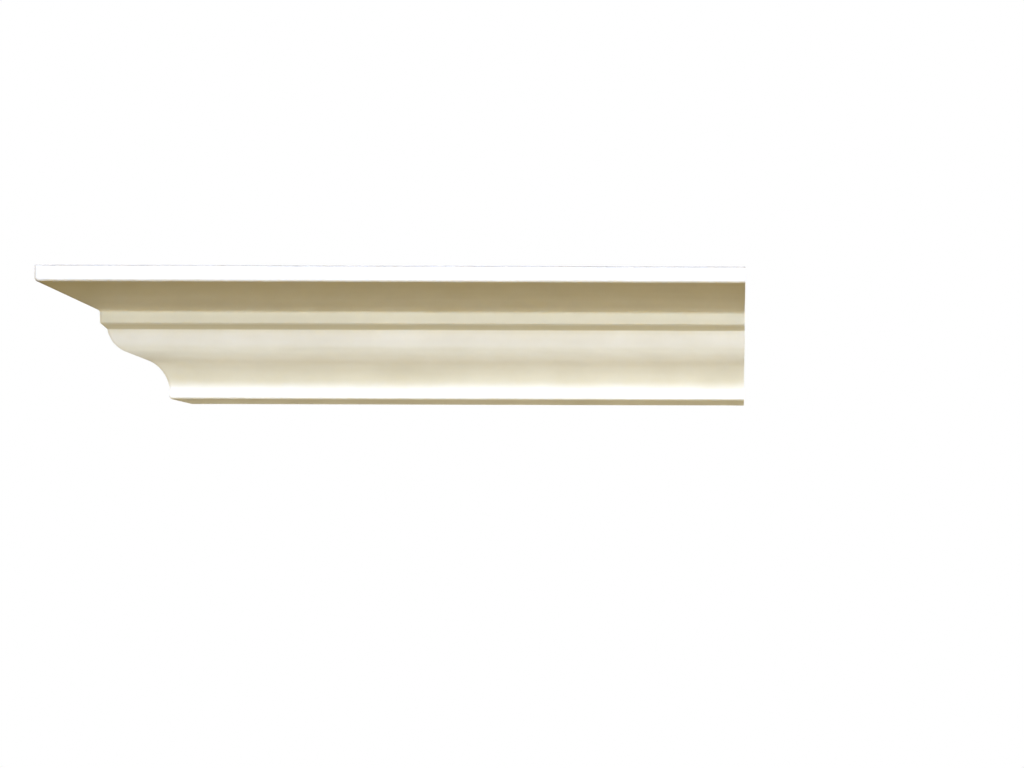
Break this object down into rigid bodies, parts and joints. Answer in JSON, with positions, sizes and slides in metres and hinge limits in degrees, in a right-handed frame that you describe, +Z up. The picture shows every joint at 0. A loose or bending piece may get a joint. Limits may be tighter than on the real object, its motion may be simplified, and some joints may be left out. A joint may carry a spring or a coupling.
{
  "type": "crown moulding length",
  "caption": "Length of sprung crown moulding with a fascia, sloping soffit, fillet and ogee face, mitred at one end, that trims the corner of a wall and ceiling.",
  "frame": {"origin": "middle of the face that bears on the wall", "axes": "+X along the moulding from its mitred end to its square end, -Y out into the room, +Y into the wall, +Z up to the ceiling"},
  "size_m": [0.523, 0.116, 0.091],
  "materials": {
    "primed_foam": "satin"
  },
  "bodies": {
    "root": {"crown_moulding_length": "primed_foam"}
  },
  "joints": []
}
